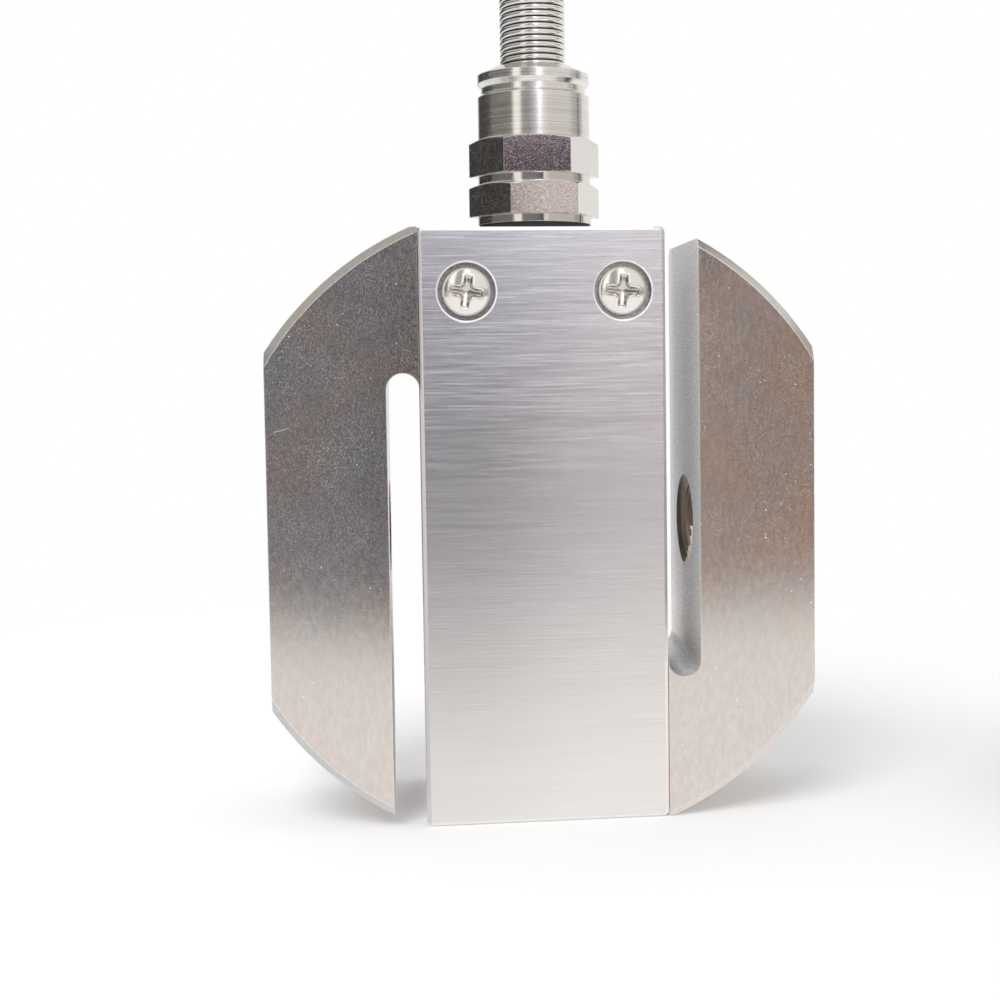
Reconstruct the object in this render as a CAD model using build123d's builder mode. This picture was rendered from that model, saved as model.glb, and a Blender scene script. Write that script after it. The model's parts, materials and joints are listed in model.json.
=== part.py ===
"""S type load cell: a slotted disc of stainless steel with two covers, a cable gland and a coiled lead.

Millimetres, +Z up. X runs along the load axis, -Y is the front. The cell stands on its lower flat.
"""
from math import pi, radians, sqrt, tan
import os

from build123d import *

# Measuring body
body_height = 77.0
body_width = 70.5
body_depth = 22.5
disc_diameter = 84.0
rim_chamfer = 1.0
slot_width = 4.2
slot_offset = 17.95
slot_reach = 58.5
load_thread_root = 10.4
load_thread_lead_in = 1.0
load_thread_drop = 0.65

# Gauge space in the middle block
shear_web = 3.0
gauge_pocket_radius = 11.0
board_pocket_width = 17.0
board_pocket_height = 8.6
board_pocket_rise = 2.5
board_pocket_floor = 2.5
pocket_corner = 2.0
channel_width = 4.0
channel_depth = 3.0
wire_hole_radius = 1.3
wire_hole_rise = 1.7

# Covers, gaskets and their screws
cover_thickness = 2.5
cover_clearance = 0.08
cover_corner = 0.8
cover_break = 0.45
gasket_width = 1.6
gasket_thickness = 0.5
gasket_margin = 0.8
screw_spacing = 20.0
screw_row_shift = 0.3
screw_from_top = 8.25
screw_diameter = 3.0
screw_length = 6.0
screw_head_radius = 3.0
screw_head_height = 1.8
screw_head_rim = 0.9
screw_cross = 4.1
screw_cross_wing = 1.0
screw_cross_depth = 1.1
counterbore_radius = 3.7
counterbore_depth = 1.5
counterbore_break = 0.2
screw_hole_radius = 1.7
thread_clearance = 0.05
screw_tip_bevel = 0.5
tip_clearance = 0.5

# Strain gauges, bridge board and inner leads
gauge_width = 5.0
gauge_length = 8.0
gauge_offset = 4.6
gauge_film = 0.1
grid_strips = 5
grid_strip = 0.3
grid_pitch = 0.6
grid_length = 4.0
grid_film = 0.05
solder_tab = 1.1
board_width = 13.0
board_height = 4.6
board_thickness = 1.0
board_margin = 0.5
resistor_width = 2.0
resistor_height = 1.2
resistor_thickness = 0.6
resistor_offset = 4.4
ribbon_width = 2.0
ribbon_thickness = 0.4
ribbon_bend = 1.2
ribbon_start = 3.2
ribbon_run = 3.2
core_radius = 0.45
core_pitch = 1.1
core_above_landing = 1.0

# Cable gland
port_depth = 8.0
port_thread = 12.0
wiring_bore_radius = 2.5
shank_length = 7.6
shank_bore_radius = 3.2
washer_radius = 7.4
washer_thickness = 0.9
base_radius = 7.6
base_thickness = 1.05
lower_hex_flats = 15.25
lower_hex_height = 4.25
lower_hex_turn = 5.2
middle_radius = 7.5
middle_height = 1.1
neck_radius = 6.2
neck_height = 7.0
seal_radius = 4.15
seal_depth = 7.0
upper_hex_flats = 15.0
upper_hex_height = 4.8
upper_hex_turn = -1.3
hex_bevel_angle = 20.0
hex_face_margin = 0.1
collar_radius = 7.45
collar_height = 9.5
groove_low = 5.6
groove_width = 1.8
groove_floor_low = 6.0
groove_floor_width = 0.8
groove_depth = 0.5
collar_bevel = 1.0
lip_thickness = 1.9
lip_clearance = 0.12
nut_chamber_radius = 5.7

# Guard spring
spring_wire = 0.8
spring_radius = 4.38
spring_turns = 36
spring_turns_in_nut = 2
spring_foot_radius = 5.3
spring_foot_height = 1.5

# Cable, its coil and its bare end
cable_diameter = 5.0
cable_length = 3000.0
running_clearance = 0.05
cable_strip_depth = 5.0
exit_below_spring_top = 24.0
coil_centre = (104.0, -12.0)
coil_inner_turn = 21.0
coil_columns = 3
coil_pitch = 5.05
coil_break = 1.5
rest_clearance = 0.1
sleeve_radius = 3.0
sleeve_length = 15.0
sleeve_behind_middle = 10.0
end_core_radius = 0.6
end_core_spread = 0.8
end_core_straight = 4.5
end_core_bend = 3.0
drain_wire_rise = 1.85

# Heights and planes that follow from the sizes above
middle_height_of_body = body_height / 2
seat_depth = body_depth / 2 - cover_thickness
middle_width = 2 * (slot_offset - slot_width / 2)
wing_width = body_width / 2 - slot_offset - slot_width / 2
slot_end = slot_reach - middle_height_of_body - slot_width / 2
slot_run = slot_end + body_height
cover_width = middle_width - 2 * cover_clearance
cover_height = body_height - 2 * cover_clearance
screw_height = body_height - screw_from_top
screw_places = (screw_row_shift - screw_spacing / 2, screw_row_shift + screw_spacing / 2)
screw_points = [(place, screw_height) for place in screw_places]
load_axis_height = middle_height_of_body - load_thread_drop
head_seat = body_depth / 2 - counterbore_depth
mouth_room = cover_width / 2 - cover_break - screw_places[1] - counterbore_radius
mouth_break = min(counterbore_break, mouth_room / 2)
screw_hole_depth = screw_length - (head_seat - seat_depth) + tip_clearance
board_pocket_low = middle_height_of_body + gauge_pocket_radius + board_pocket_rise
board_pocket_high = board_pocket_low + board_pocket_height
board_pocket_middle = (board_pocket_low + board_pocket_high) / 2
wire_hole_height = board_pocket_low + wire_hole_rise
board_face = board_pocket_floor - board_thickness
board_middle = board_pocket_high - board_margin - board_height / 2
board_low = board_middle - board_height / 2
gasket_low = middle_height_of_body - gauge_pocket_radius - gasket_margin
gasket_high = board_pocket_high + gasket_margin
gasket_opening = 2 * (gauge_pocket_radius + gasket_margin)
gland_base = body_height + washer_thickness
lower_hex_base = gland_base + base_thickness
middle_base = lower_hex_base + lower_hex_height
nut_base = middle_base + middle_height
collar_base = nut_base + upper_hex_height
nut_top = collar_base + collar_height
neck_top = nut_base + neck_height
seal_base = neck_top - seal_depth
lip_base = nut_top - lip_thickness
spring_bore = spring_radius - spring_wire
spring_base = nut_top - spring_turns_in_nut * spring_wire
spring_top = spring_base + spring_turns * spring_wire
foot_base = lip_base - spring_foot_height
cable_radius = cable_diameter / 2
cable_strip_height = body_height - cable_strip_depth
cable_start = spring_top - exit_below_spring_top

os.makedirs("parts", exist_ok=True)
pieces = []


def keep(builder, name):
    """Name a finished piece and remember it for writing."""
    builder.part.label = name
    pieces.append(builder.part)


def spot(plane, x, y, turn=0):
    """The plane with its origin moved to a point on it, turned about its own normal."""
    return Plane(plane.location * Location((x, y, 0), (0, 0, turn)))


def section(plane):
    """The plane through a plane's normal: local X goes across it and local Y along the normal."""
    return Plane(origin=plane.origin, x_dir=plane.x_dir, z_dir=-plane.y_dir)


# Measuring body: a disc with four flats, slotted from below and from above
with BuildPart() as body:
    with BuildSketch(Plane.front.offset(body_depth / 2)):
        with Locations((0, middle_height_of_body)):
            Circle(disc_diameter / 2)
            Rectangle(body_width, body_height, mode=Mode.INTERSECT)
    extrude(amount=-body_depth)
    chamfer(body.edges().filter_by(GeomType.CIRCLE), rim_chamfer)

    # The two slots are the same slot turned half round about the middle
    with BuildSketch(Plane.front.offset(body_depth / 2)):
        with Locations((0, middle_height_of_body)):
            with PolarLocations(slot_offset, 2, start_angle=180):
                with Locations((0, -slot_end)):
                    Circle(slot_width / 2)
                    Rectangle(slot_width, slot_run, align=(Align.CENTER, Align.MIN))
    extrude(amount=-body_depth, mode=Mode.SUBTRACT)

    # Threaded load holes, from each loading face through to the slot
    for side in (Plane.left, Plane.right):
        with BuildSketch(side.offset(body_width / 2)):
            with Locations((0, load_axis_height)):
                Circle(load_thread_root / 2)
        extrude(amount=-wing_width, mode=Mode.SUBTRACT)
        mouths = body.edges(Select.LAST).filter_by(GeomType.CIRCLE)
        chamfer(mouths, load_thread_lead_in)

    # Seats, gasket grooves, gauge pockets and screw holes, the same on both sides
    for face in (Plane.front, Plane.back):
        with BuildSketch(face.offset(body_depth / 2)):
            with Locations((0, middle_height_of_body)):
                Rectangle(middle_width, body_height)
        extrude(amount=-cover_thickness, mode=Mode.SUBTRACT)
        with BuildSketch(face.offset(seat_depth)):
            with Locations((0, middle_height_of_body)):
                Circle(gauge_pocket_radius)
        extrude(amount=-(seat_depth - shear_web / 2), mode=Mode.SUBTRACT)
        with BuildSketch(face.offset(seat_depth)):
            with Locations((0, (gasket_low + gasket_high) / 2)):
                RectangleRounded(
                    gasket_opening + 2 * gasket_width,
                    gasket_high - gasket_low + 2 * gasket_width,
                    pocket_corner + gasket_width,
                )
                RectangleRounded(
                    gasket_opening, gasket_high - gasket_low, pocket_corner, mode=Mode.SUBTRACT
                )
        extrude(amount=-gasket_thickness, mode=Mode.SUBTRACT)
        with BuildSketch(face.offset(seat_depth)):
            with Locations((0, middle_height_of_body)):
                Rectangle(
                    channel_width,
                    wire_hole_height + wire_hole_radius - middle_height_of_body,
                    align=(Align.CENTER, Align.MIN),
                )
        extrude(amount=-channel_depth, mode=Mode.SUBTRACT)
        with BuildSketch(face.offset(seat_depth)):
            with Locations(*screw_points):
                Circle(screw_diameter / 2)
        extrude(amount=-screw_hole_depth, mode=Mode.SUBTRACT)

    # Board pocket in the front, with the wire hole from the rear channel
    with BuildSketch(Plane.front.offset(seat_depth)):
        with Locations((0, board_pocket_middle)):
            RectangleRounded(board_pocket_width, board_pocket_high - board_pocket_low, pocket_corner)
    extrude(amount=-(seat_depth + board_pocket_floor), mode=Mode.SUBTRACT)
    with BuildSketch(Plane.back.offset(seat_depth)):
        with Locations((0, wire_hole_height)):
            Circle(wire_hole_radius)
    extrude(amount=-(seat_depth - board_pocket_floor), mode=Mode.SUBTRACT)

    # Gland port and the wiring bore below it
    with BuildSketch(Plane.XY.offset(body_height)):
        Circle(port_thread / 2)
    extrude(amount=-port_depth, mode=Mode.SUBTRACT)
    with BuildSketch(Plane.XY.offset(body_height - port_depth)):
        Circle(wiring_bore_radius)
    extrude(amount=-(body_height - port_depth - board_pocket_high), mode=Mode.SUBTRACT)
keep(body, "body")


def make_cover(face, name):
    """A flat cover with broken edges and two counterbored holes."""
    with BuildPart() as cover:
        with BuildSketch(face.offset(seat_depth)):
            with Locations((0, middle_height_of_body)):
                RectangleRounded(cover_width, cover_height, cover_corner)
        extrude(amount=cover_thickness)
        chamfer(cover.faces().sort_by(Axis((0, 0, 0), face.z_dir))[-1].edges(), cover_break)
        with BuildSketch(face.offset(body_depth / 2)):
            with Locations(*screw_points):
                Circle(counterbore_radius)
        extrude(amount=-counterbore_depth, mode=Mode.SUBTRACT)
        mouths = cover.faces().sort_by(Axis((0, 0, 0), face.z_dir))[-1].inner_wires().edges()
        chamfer(mouths, mouth_break)
        with BuildSketch(face.offset(head_seat)):
            with Locations(*screw_points):
                Circle(screw_hole_radius)
        extrude(amount=-cover_thickness, mode=Mode.SUBTRACT)
    keep(cover, name)


def make_gasket(face, name):
    """A flat ring in the groove round the pockets, level with the cover's seat."""
    with BuildPart() as gasket:
        with BuildSketch(face.offset(seat_depth)):
            with Locations((0, (gasket_low + gasket_high) / 2)):
                RectangleRounded(
                    gasket_opening + 2 * gasket_width,
                    gasket_high - gasket_low + 2 * gasket_width,
                    pocket_corner + gasket_width,
                )
                RectangleRounded(
                    gasket_opening, gasket_high - gasket_low, pocket_corner, mode=Mode.SUBTRACT
                )
        extrude(amount=-gasket_thickness)
    keep(gasket, name)


def make_screw(face, x, name):
    """A pan head screw with a cross recess, its head on the floor of the counterbore."""
    seat = spot(face.offset(head_seat), x, screw_height)
    shank = screw_diameter / 2 - thread_clearance
    dome = screw_head_height - screw_head_rim
    dome_radius = (screw_head_radius**2 + dome**2) / (2 * dome)
    with BuildPart() as screw:
        with BuildSketch(section(seat)):
            with BuildLine():
                Polyline(
                    (0, screw_head_height),
                    (0, -screw_length),
                    (shank - screw_tip_bevel, -screw_length),
                    (shank, -screw_length + screw_tip_bevel),
                    (shank, 0),
                    (screw_head_radius, 0),
                    (screw_head_radius, screw_head_rim),
                )
                RadiusArc((screw_head_radius, screw_head_rim), (0, screw_head_height), -dome_radius)
            make_face()
        revolve(axis=Axis(seat.origin, seat.z_dir))
        for turn in (0, 90):
            wing = spot(face.offset(head_seat), x, screw_height, turn)
            with BuildSketch(wing.offset(screw_head_height)) as mouth:
                Rectangle(screw_cross, screw_cross_wing)
            with BuildSketch(wing.offset(screw_head_height - screw_cross_depth)) as root:
                Rectangle(screw_cross / 2, screw_cross_wing * 3 / 4)
            loft(sections=[mouth.sketch, root.sketch], mode=Mode.SUBTRACT)
    keep(screw, name)


def make_gauge(face, side, name):
    """A foil gauge at 45 degrees on the shear web: a film that carries a grid and two solder tabs."""
    film = spot(face.offset(shear_web / 2), side * gauge_offset, middle_height_of_body, 45 * side)
    with BuildPart() as gauge:
        with BuildSketch(film):
            Rectangle(gauge_width, gauge_length)
        extrude(amount=gauge_film)
        with BuildSketch(film.offset(gauge_film)):
            with GridLocations(grid_pitch, 0, grid_strips, 1):
                Rectangle(grid_strip, grid_length)
            with Locations((0, grid_length / 2)):
                Rectangle(grid_pitch * (grid_strips - 1) + grid_strip, grid_strip)
            with Locations((0, -grid_length / 2 - solder_tab / 2)):
                with GridLocations(2 * solder_tab, 0, 2, 1):
                    Rectangle(solder_tab, solder_tab)
        extrude(amount=grid_film)
    keep(gauge, name)


for face, place in ((Plane.front, "front"), (Plane.back, "rear")):
    make_cover(face, f"{place}_cover")
    make_gasket(face, f"{place}_gasket")
    for side, hand, screw_place in ((-1, "left", screw_places[0]), (1, "right", screw_places[1])):
        make_screw(face, screw_place, f"{place}_screw_{hand}")
        make_gauge(face, side, f"{place}_gauge_{hand}")

# Bridge board on the floor of its pocket, with its trim resistors
with BuildPart() as board:
    with BuildSketch(Plane.front.offset(-board_pocket_floor)):
        with Locations((0, board_middle)):
            Rectangle(board_width, board_height)
    extrude(amount=board_thickness)
keep(board, "bridge_board")

with BuildPart() as resistors:
    with BuildSketch(Plane.front.offset(-board_face)):
        with Locations((0, board_middle)):
            with GridLocations(2 * resistor_offset, 2 * resistor_height, 2, 2):
                Rectangle(resistor_width, resistor_height)
    extrude(amount=resistor_thickness)
keep(resistors, "trim_resistors")


def make_ribbon(points, name):
    """A flat lead in the middle plane, along points given as (y, z)."""
    with BuildPart() as ribbon:
        with BuildSketch(Plane.YZ):
            with BuildLine() as route:
                FilletPolyline(*points, radius=ribbon_bend)
            trace(lines=route.edges(), line_width=ribbon_thickness)
        extrude(amount=ribbon_width / 2, both=True)
    keep(ribbon, name)


# Lead ribbons: up the shear web, through the channel and onto the board
on_web = shear_web / 2 + ribbon_thickness / 2
in_channel = seat_depth - channel_depth / 2
web_start = middle_height_of_body + ribbon_start
web_end = web_start + ribbon_run
channel_start = middle_height_of_body + gauge_pocket_radius - ribbon_width / 2
landing = (board_low + board_middle) / 2
make_ribbon(
    [
        (-on_web, web_start),
        (-on_web, web_end),
        (-in_channel, channel_start),
        (-in_channel, landing),
        (board_face, landing),
    ],
    "front_lead_ribbon",
)
make_ribbon(
    [
        (on_web, web_start),
        (on_web, web_end),
        (in_channel, channel_start),
        (in_channel, wire_hole_height),
        (board_face - ribbon_thickness / 2, wire_hole_height),
        (board_face - ribbon_thickness / 2, landing - ribbon_thickness),
    ],
    "rear_lead_ribbon",
)

# Four cores from the board up the wiring bore to the stripped end of the cable
core_bottom = landing + core_above_landing
for place, colour in enumerate(("red", "black", "green", "white")):
    core_x = (place - 1.5) * core_pitch
    core_y = board_face - core_radius
    with BuildPart() as core:
        with BuildSketch(Plane.XY.offset(core_bottom)):
            with Locations((core_x, core_y)):
                Circle(core_radius)
        extrude(amount=cable_strip_height - core_bottom)
    keep(core, f"inner_core_{colour}")


def hex_bevel(top, flats):
    """Section of what the turned bevel takes off the upper corners of a hexagon."""
    inner = flats / 2 - hex_face_margin
    outer = flats / sqrt(3)
    with BuildSketch(Plane.XZ) as bevel:
        with BuildLine():
            Polyline(
                (inner, top),
                (outer, top),
                (outer, top - (outer - inner) * tan(radians(hex_bevel_angle))),
                close=True,
            )
        make_face()
    return bevel.sketch


# Gland: flat seal, body with the lower hexagon, cable seal, clamp sleeve and nut
with BuildPart() as washer:
    with BuildSketch(Plane.XY.offset(body_height)):
        Circle(washer_radius)
        Circle(port_thread / 2 + running_clearance, mode=Mode.SUBTRACT)
    extrude(amount=washer_thickness)
keep(washer, "gland_washer")

with BuildPart() as gland_body:
    with BuildSketch(Plane.XY.offset(body_height - shank_length)):
        Circle(port_thread / 2 - thread_clearance)
    extrude(amount=shank_length + washer_thickness)
    with BuildSketch(Plane.XY.offset(gland_base)):
        Circle(base_radius)
    extrude(amount=base_thickness)
    with BuildSketch(Plane.XY.offset(lower_hex_base)):
        RegularPolygon(lower_hex_flats / 2, 6, major_radius=False, rotation=lower_hex_turn)
    extrude(amount=lower_hex_height)
    revolve(hex_bevel(middle_base, lower_hex_flats), axis=Axis.Z, mode=Mode.SUBTRACT)
    with BuildSketch(Plane.XY.offset(middle_base)):
        Circle(middle_radius)
    extrude(amount=middle_height)
    with BuildSketch(Plane.XY.offset(nut_base)):
        Circle(neck_radius)
    extrude(amount=neck_height)
    with BuildSketch(Plane.XY.offset(body_height - shank_length)):
        Circle(shank_bore_radius)
    extrude(amount=seal_base - body_height + shank_length, mode=Mode.SUBTRACT)
    with BuildSketch(Plane.XY.offset(seal_base)):
        Circle(seal_radius + running_clearance)
    extrude(amount=seal_depth, mode=Mode.SUBTRACT)
keep(gland_body, "gland_body")

with BuildPart() as cable_seal:
    with BuildSketch(Plane.XY.offset(seal_base)):
        Circle(seal_radius)
        Circle(cable_radius + running_clearance, mode=Mode.SUBTRACT)
    extrude(amount=seal_depth)
keep(cable_seal, "cable_seal")

with BuildPart() as clamp_sleeve:
    with BuildSketch(Plane.XY.offset(neck_top)):
        Circle(spring_foot_radius)
        Circle(cable_radius + running_clearance, mode=Mode.SUBTRACT)
    extrude(amount=foot_base - neck_top)
keep(clamp_sleeve, "clamp_sleeve")

with BuildPart() as gland_nut:
    with BuildSketch(Plane.XY.offset(nut_base)):
        RegularPolygon(upper_hex_flats / 2, 6, major_radius=False, rotation=upper_hex_turn)
    extrude(amount=upper_hex_height)
    revolve(hex_bevel(collar_base, upper_hex_flats), axis=Axis.Z, mode=Mode.SUBTRACT)
    with BuildSketch(Plane.XY.offset(collar_base)):
        Circle(collar_radius)
    extrude(amount=collar_height)
    chamfer(gland_nut.edges().group_by(Axis.Z)[-1], collar_bevel, collar_bevel * 2)
    with BuildSketch(Plane.XZ):
        with BuildLine():
            Polyline(
                (collar_radius, collar_base + groove_low),
                (collar_radius - groove_depth, collar_base + groove_floor_low),
                (collar_radius - groove_depth, collar_base + groove_floor_low + groove_floor_width),
                (collar_radius, collar_base + groove_low + groove_width),
                close=True,
            )
        make_face()
    revolve(axis=Axis.Z, mode=Mode.SUBTRACT)
    with BuildSketch(Plane.XY.offset(nut_base)):
        Circle(neck_radius + running_clearance)
    extrude(amount=neck_height, mode=Mode.SUBTRACT)
    with BuildSketch(Plane.XY.offset(neck_top)):
        Circle(nut_chamber_radius)
    extrude(amount=lip_base - neck_top, mode=Mode.SUBTRACT)
    with BuildSketch(Plane.XY.offset(lip_base)):
        Circle(spring_radius + lip_clearance)
    extrude(amount=lip_thickness, mode=Mode.SUBTRACT)
keep(gland_nut, "gland_nut")

# Guard spring: close turns as one ribbed tube, its wide foot held under the nut's lip
turn_points = []
for turn in range(spring_turns):
    turn_base = spring_base + turn * spring_wire
    turn_points.append((spring_radius - spring_wire / 2, turn_base))
    turn_points.append((spring_radius, turn_base + spring_wire / 2))
with BuildPart() as guard_spring:
    with BuildSketch(Plane.XZ):
        with BuildLine():
            Polyline(
                (spring_bore, foot_base),
                (spring_foot_radius, foot_base),
                (spring_foot_radius, lip_base),
                (spring_radius - spring_wire / 2, lip_base),
                *turn_points,
                (spring_radius - spring_wire / 2, spring_top),
                (spring_bore, spring_top),
                close=True,
            )
        make_face()
    revolve(axis=Axis.Z)
keep(guard_spring, "guard_spring")

# Cable: its stretch in the gland and guard, the free stretch, and the coil
with BuildPart() as cable_in_gland:
    with BuildSketch(Plane.XY.offset(cable_strip_height)):
        Circle(cable_radius)
    extrude(amount=cable_start - cable_strip_height)
keep(cable_in_gland, "cable_in_gland")

coil_turns_radii = [coil_inner_turn + column * cable_diameter for column in range(coil_columns)]
coil_bore = coil_inner_turn - cable_radius
coil_outer = coil_turns_radii[-1] + cable_radius
coil_x, coil_y = coil_centre

# Points of the free stretch, chosen by hand: up out of the guard, over, and down onto the coil
route_points = [
    (0, 0, cable_start),
    (0, 0, 148),
    (22, 1, 180),
    (56, 3, 184),
    (76, 5, 156),
    (80, 7, 120),
    (75, 8, 86),
    (76, 9, 53),
    (92, 9, 35.2),
    (116, 8, 35.2),
]
corners = [Vector(*point) for point in route_points]
runs = [later - earlier for earlier, later in zip(corners, corners[1:])]
route_radii = []
for arriving, leaving in zip(runs, runs[1:]):
    half_turn = radians(arriving.get_angle(leaving)) / 2
    route_radii.append(0.45 * min(arriving.length, leaving.length) / tan(half_turn))
with BuildPart() as cable:
    with BuildLine():
        free_route = FilletPolyline(*route_points, radius=route_radii)
    with BuildSketch(Plane(origin=corners[0], z_dir=runs[0])):
        Circle(cable_radius)
    sweep(path=free_route)
route_length = free_route.length
print("cable bend radii", [round(radius, 1) for radius in route_radii])
print("cable volume", cable.part.volume, "section times length", pi * cable_radius**2 * route_length)
keep(cable, "cable")

coiled_length = cable_length - (cable_start - cable_strip_height) - route_length
turns_in_column = coiled_length / (2 * pi * sum(coil_turns_radii))
coil_height = (turns_in_column + 1) * coil_pitch
print("coiled length", coiled_length, "turns in a column", turns_in_column, "height", coil_height)
with BuildPart() as cable_coil:
    with BuildSketch(Plane.XY):
        with Locations(coil_centre):
            Circle(coil_outer)
            Circle(coil_bore, mode=Mode.SUBTRACT)
    extrude(amount=coil_height)
    chamfer(cable_coil.edges().group_by(Axis.Z)[-1], coil_break)
keep(cable_coil, "cable_coil")

# Bare end of the cable on the floor beside the coil: a shrunk sleeve, four cores and the drain wire
sleeve_x = coil_x + coil_outer + sleeve_radius + rest_clearance
sleeve_start = coil_y + sleeve_behind_middle
sleeve_end = sleeve_start - sleeve_length
with BuildPart() as end_sleeve:
    with BuildSketch(Plane.XZ.offset(-sleeve_start)):
        with Locations((sleeve_x, sleeve_radius)):
            Circle(sleeve_radius)
    extrude(amount=sleeve_length)
keep(end_sleeve, "end_sleeve")

# Each end core: its name, where it leaves the sleeve, how far aside its tip lies, and its reach
end_cores = (
    ("end_core_red", (-end_core_spread, -end_core_spread), -8.0, 26.5),
    ("end_core_black", (-end_core_spread, end_core_spread), -3.7, 26.0),
    ("drain_wire", (0, drain_wire_rise), -0.9, 27.5),
    ("end_core_green", (end_core_spread, end_core_spread), 1.8, 25.0),
    ("end_core_white", (end_core_spread, -end_core_spread), 5.6, 25.5),
)
for name, (across, above), tip, reach in end_cores:
    start = (sleeve_x + across, sleeve_end, sleeve_radius + above)
    end_points = [
        start,
        (start[0], sleeve_end - end_core_straight, start[2]),
        (sleeve_x + tip, sleeve_end - reach, end_core_radius),
    ]
    with BuildPart() as end_core:
        with BuildLine():
            end_route = FilletPolyline(*end_points, radius=end_core_bend)
        with BuildSketch(Plane(origin=start, z_dir=(0, -1, 0))):
            Circle(end_core_radius)
        sweep(path=end_route)
    keep(end_core, name)

for piece in pieces:
    export_step(piece, f"parts/{piece.label}.step")
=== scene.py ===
# %% [markdown]
# # S type load cell
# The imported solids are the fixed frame: the slotted steel body, its covers, the gland and the lead.
# This notebook gives them their finishes, and makes the pieces that a solid can't show well:
# the soft run of the cable, the wound guard spring, the threads in the load holes with a burr
# at the mouth of one, and the screw heads with their pressed recesses.

# %% Load the frame
import json
import math
import random

import bpy
from mathutils import Matrix, Vector


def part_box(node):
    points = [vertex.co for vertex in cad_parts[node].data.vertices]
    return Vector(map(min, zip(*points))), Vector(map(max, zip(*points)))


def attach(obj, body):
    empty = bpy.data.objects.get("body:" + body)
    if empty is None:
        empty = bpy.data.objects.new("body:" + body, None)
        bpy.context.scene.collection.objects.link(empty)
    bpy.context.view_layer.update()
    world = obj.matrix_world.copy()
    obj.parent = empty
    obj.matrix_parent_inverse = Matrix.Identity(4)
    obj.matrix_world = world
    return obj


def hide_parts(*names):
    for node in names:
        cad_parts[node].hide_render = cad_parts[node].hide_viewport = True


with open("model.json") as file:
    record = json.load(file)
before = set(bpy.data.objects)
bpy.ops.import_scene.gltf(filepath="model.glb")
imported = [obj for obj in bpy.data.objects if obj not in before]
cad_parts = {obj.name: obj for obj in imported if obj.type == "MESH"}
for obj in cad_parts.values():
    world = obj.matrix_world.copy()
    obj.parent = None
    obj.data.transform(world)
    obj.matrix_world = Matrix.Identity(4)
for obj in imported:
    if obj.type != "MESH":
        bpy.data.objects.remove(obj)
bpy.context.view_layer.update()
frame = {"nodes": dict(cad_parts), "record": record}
nodes = frame["nodes"]
MM = 0.001

# %% [markdown]
# ## Camera
# The photograph was taken from close by, a little above the middle and from the left.
# The place, turn and lens come from fitting the body's known corners to the picture.
# The shift moves the picture's middle without tilting the upright edges.

# %% Camera
camera_place = Vector((-0.016616, -0.200819, 0.060893))

# It turns and rolls by these radians, and looks down by this many degrees
camera_yaw, camera_roll, camera_dip = -0.10535, -0.01233, 3.575
camera_turn = (
    Matrix.Rotation(camera_yaw, 4, "Z")
    @ Matrix.Rotation(math.radians(90 - camera_dip), 4, "X")
    @ Matrix.Rotation(camera_roll, 4, "Z")
)
camera_data = bpy.data.cameras.new("photo_camera")
camera_data.lens = 53.64
camera_data.sensor_width = 36
camera_data.shift_x = -0.0718
camera_data.shift_y = -0.0544
camera = bpy.data.objects.new("photo_camera", camera_data)
camera.matrix_world = Matrix.Translation(camera_place) @ camera_turn
bpy.context.scene.collection.objects.link(camera)
bpy.context.scene.camera = camera
bpy.context.scene.view_settings.view_transform = "Standard"
print("camera at", [round(v, 4) for v in camera_place])

# %% [markdown]
# ## Cable
# The lead is a round cable of 5 mm. It climbs out of the guard spring, bends over to the right
# and comes down into a neat coil, where nearly all of its length lies. It could be a swept mesh,
# but one NURBS curve keeps the bends soft. Its bevel is as thick as the radius of its points,
# so the object's box, which counts those radii, stays the cable's own.
# The first points are the free run. The coil's turns are added by a loop.

# %% Route of the cable
cable_radius = 2.5
free_run = [
    (0, 0, 101.8),
    (0, 0, 148),
    (22, 1, 180),
    (56, 3, 184),
    (76, 5, 156),
    (80, 7, 120),
    (75, 8, 86),
    (76, 9, 53),
    (92, 9.2, 35.3),
]
coil_x, coil_y = 104.0, -12.0
points_in_turn = 16
pull_in = math.cos(math.pi / points_in_turn)

# Each stop on the way round the coil: turns so far, radius and height of the cable's middle
coil_stops = [
    (0.0, 21.0, 35.2),
    (0.22, 21.0, 30.05),
    (5.38, 21.0, 2.6),
    (5.55, 26.1, 2.6),
    (10.72, 26.1, 30.05),
    (10.89, 31.15, 30.05),
    (16.0, 31.15, 2.6),
]

# Where the last turn leaves the coil and swings round to lie straight in the end sleeve
way_out = [
    (111.5, 19.7, 2.8),
    (119.6, 19.5, 2.9),
    (127.8, 17.9, 3.0),
    (134.7, 13.2, 3.0),
    (139.4, 6.3, 3.0),
    (140.6, -2.0, 3.0),
]


def between_stops(turn):
    """Radius and height of the cable's middle after so many turns."""
    for (start, radius_a, height_a), (end, radius_b, height_b) in zip(coil_stops, coil_stops[1:]):
        if turn <= end:
            share = (turn - start) / (end - start)
            return radius_a + share * (radius_b - radius_a), height_a + share * (height_b - height_a)
    return coil_stops[-1][1:]


route = [Vector(point) for point in free_run]
for step in range(int(coil_stops[-1][0] * points_in_turn) + 1):
    turn = step / points_in_turn
    radius, height = between_stops(turn)
    angle = math.pi / 2 - 2 * math.pi * turn
    reach = radius / pull_in
    route.append(Vector((coil_x + reach * math.cos(angle), coil_y + reach * math.sin(angle), height)))
route += [Vector(point) for point in way_out]
print(len(route), "route points")

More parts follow.
